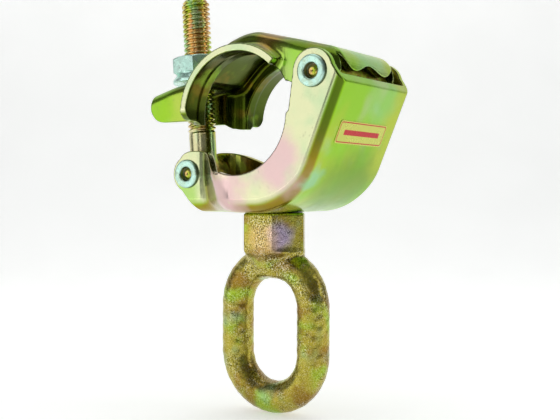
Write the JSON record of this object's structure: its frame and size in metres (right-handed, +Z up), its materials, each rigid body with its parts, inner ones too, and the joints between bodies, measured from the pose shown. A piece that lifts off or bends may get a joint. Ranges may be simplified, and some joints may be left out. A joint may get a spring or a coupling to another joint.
{
  "type": "scaffold tube suspension clamp",
  "caption": "Hinged pressed-steel tube clamp with a swing bolt and flange nut, and a forged oval load eye that swivels below it.",
  "frame": {"origin": "on the axis of the clamped tube, half way across the clamp", "axes": "+Y along the tube, +Z up away from the load eye, +X towards the lid's hinge"},
  "size_m": [0.1048, 0.0614, 0.1785],
  "materials": {
    "pressed_chromate": "yellow chromate over zinc, satin, iridescent",
    "lid_chromate": "yellow chromate over zinc, satin, green cast",
    "rivet_steel": "bare rolled steel rings with a gold recess",
    "spacer_chromate": "dull yellow chromate",
    "bolt_chromate": "yellow chromate, bright thread",
    "nut_zinc": "pale blue zinc",
    "forged_chromate": "rough forged surface under dark chromate",
    "label_film": "thin printed film, plain"
  },
  "bodies": {
    "clamp": {"clamp_body": "pressed_chromate", "hinge_rivet": "rivet_steel", "hinge_spacer": "spacer_chromate", "bolt_rivet": "rivet_steel", "blank_label": "label_film"},
    "lid": {"clamp_lid": "lid_chromate"},
    "bolt": {"swing_bolt": "bolt_chromate"},
    "nut": {"flange_nut": "nut_zinc"},
    "eye": {"swivel_eye": "forged_chromate", "thrust_washer": "spacer_chromate"}
  },
  "joints": [
    {"name": "bolt_swing", "type": "hinge", "parent": "clamp", "child": "bolt", "pos_m": [-0.0375, 0, -0.0231], "axis": [0, -1, 0], "range_deg": [0, 120]},
    {"name": "nut_travel", "type": "slide", "parent": "bolt", "child": "nut", "axis": [-0.0645, 0, 0.9979], "range_m": [0, 0.0236]},
    {"name": "lid_open", "type": "hinge", "parent": "clamp", "child": "lid", "pos_m": [0.0364, 0, 0.0141], "axis": [0, 1, 0], "range_deg": [0, 31]},
    {"name": "eye_swivel", "type": "hinge", "parent": "clamp", "child": "eye", "pos_m": [0, 0, -0.0394], "axis": [0, 0, 1], "continuous": true}
  ],
  "couplings": [
    {"joint": "lid_open", "follows": "nut_travel", "rad_per_m": 12.6}
  ]
}
